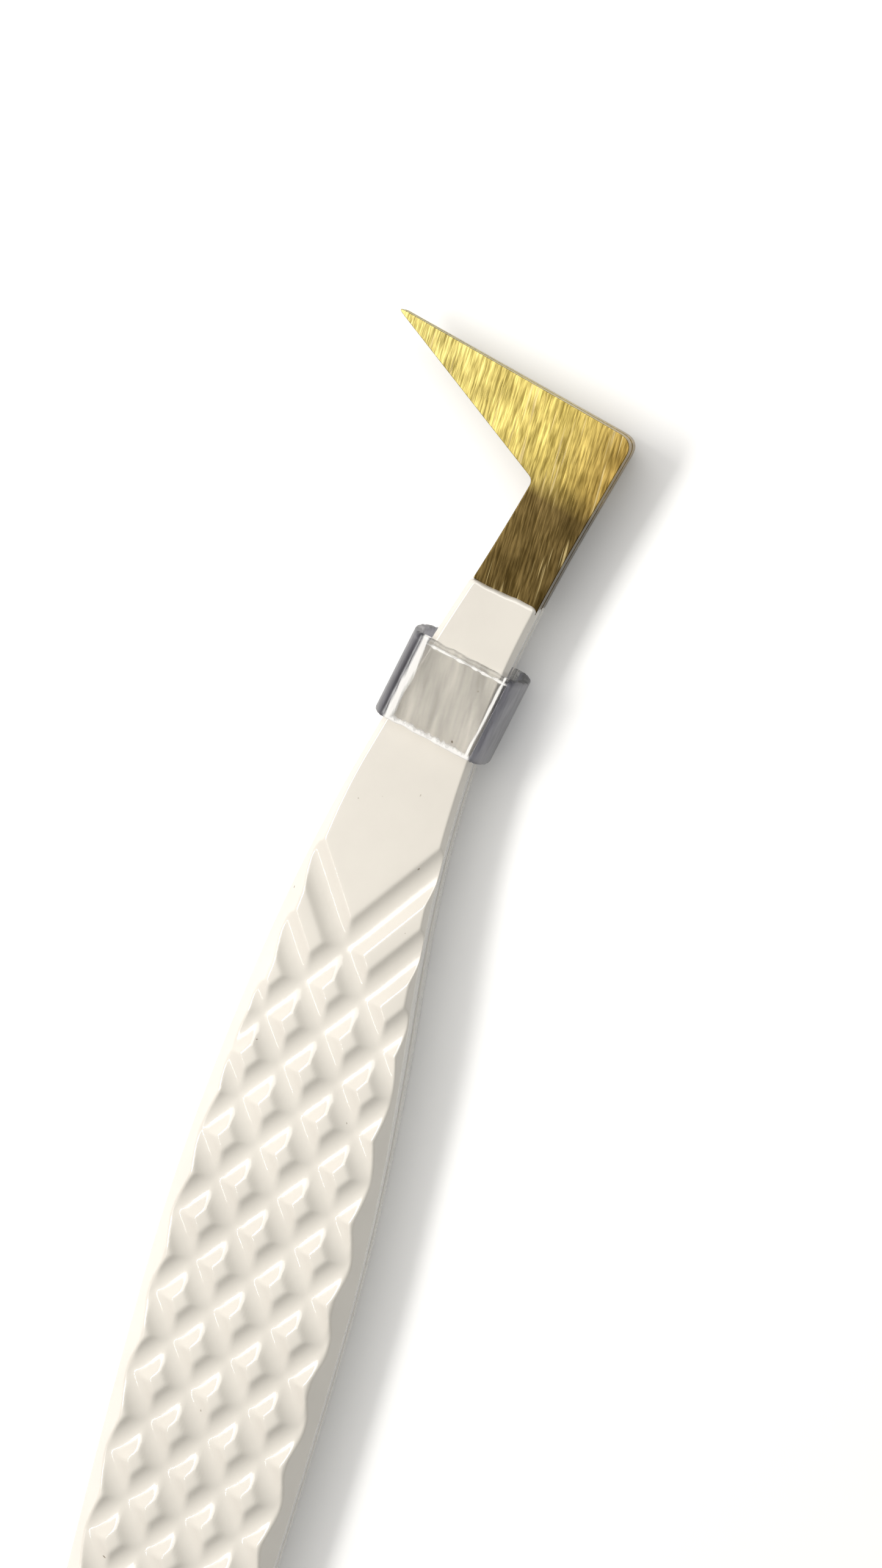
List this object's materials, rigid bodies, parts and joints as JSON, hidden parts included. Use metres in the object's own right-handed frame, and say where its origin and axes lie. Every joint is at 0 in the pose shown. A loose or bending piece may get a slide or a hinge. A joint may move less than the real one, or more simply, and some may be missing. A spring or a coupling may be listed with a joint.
{
  "type": "eyelash extension tweezers",
  "caption": "Spring tweezers with an L-shaped gold boot tip, white enamelled diamond-relief handle and a clear keeper sleeve holding the arms closed.",
  "frame": {"origin": "on the surface the tweezers lie on, under the middle of their bounding box", "axes": "+X along the handle from the butt to the boot, +Y the way the toe points, +Z from the rear arm up to the front arm"},
  "size_m": [0.1154, 0.014, 0.0053],
  "materials": {
    "gold_coating": "gold coated, brushed along the neck",
    "white_enamel": "thick glossy enamel",
    "bare_steel": "satin",
    "clear_plastic": "clear flexible vinyl"
  },
  "bodies": {
    "rear_arm": {"rear_blade": "gold_coating", "rear_enamel": "white_enamel", "butt_spacer": "bare_steel"},
    "front_arm": {"front_blade": "gold_coating", "front_enamel": "white_enamel"},
    "keeper_rear": {"keeper_rear": "clear_plastic"},
    "keeper_front": {"keeper_front": "clear_plastic"}
  },
  "joints": [
    {"name": "arm_open", "type": "hinge", "parent": "rear_arm", "child": "front_arm", "pos_m": [-0.05766, 0.00034, 0.00265], "axis": [0, -1, 0], "range_deg": [0, 4.3]},
    {"name": "sleeve_slide", "type": "slide", "parent": "rear_arm", "child": "keeper_rear", "axis": [0.9817, -0.1902, 0], "range_m": [0, 0.004]},
    {"name": "sleeve_stretch", "type": "hinge", "parent": "keeper_rear", "child": "keeper_front", "pos_m": [-0.05766, 0.00034, 0.00265], "axis": [0, -1, 0], "range_deg": [0, 4.3]}
  ],
  "couplings": [
    {"joint": "sleeve_stretch", "follows": "arm_open", "ratio": 1}
  ]
}
